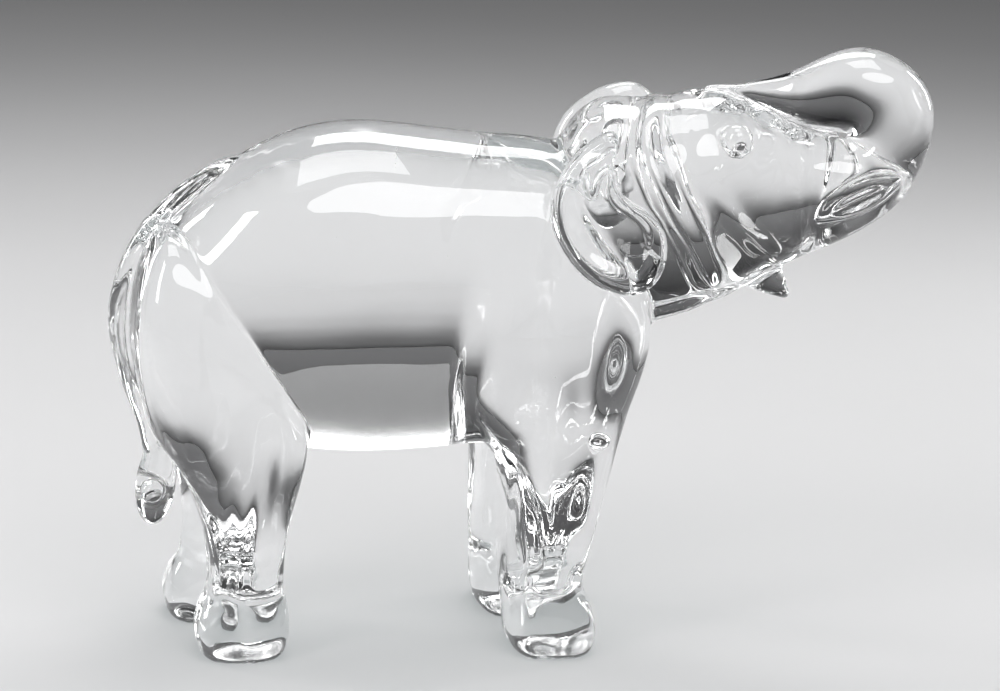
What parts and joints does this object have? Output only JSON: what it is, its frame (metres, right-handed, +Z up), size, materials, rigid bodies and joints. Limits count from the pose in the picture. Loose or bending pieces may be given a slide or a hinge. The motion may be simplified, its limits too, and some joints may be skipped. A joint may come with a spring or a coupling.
{
  "type": "glass elephant figurine",
  "caption": "Solid clear glass elephant standing on ground flat feet, its head turned slightly and its trunk raised and folded back onto the forehead.",
  "frame": {"origin": "centre of the whole figurine in plan, on the plane of the ground feet", "axes": "+X from tail toward trunk, +Y toward the elephant's left, +Z up"},
  "size_m": [0.1854, 0.065, 0.1382],
  "materials": {
    "crystal": "fire-polished clear glass",
    "crystal_applied": "fire-polished clear glass"
  },
  "bodies": {
    "root": {"torso": "crystal", "head": "crystal", "trunk": "crystal", "lower_lip": "crystal_applied", "ear_right": "crystal", "ear_left": "crystal", "eye_right": "crystal_applied", "eye_left": "crystal_applied", "tusk_right": "crystal_applied", "tusk_left": "crystal_applied", "front_leg_right": "crystal", "front_leg_left": "crystal", "rear_leg_right": "crystal", "rear_leg_left": "crystal", "tail": "crystal_applied", "tail_tuft": "crystal_applied"}
  },
  "joints": []
}
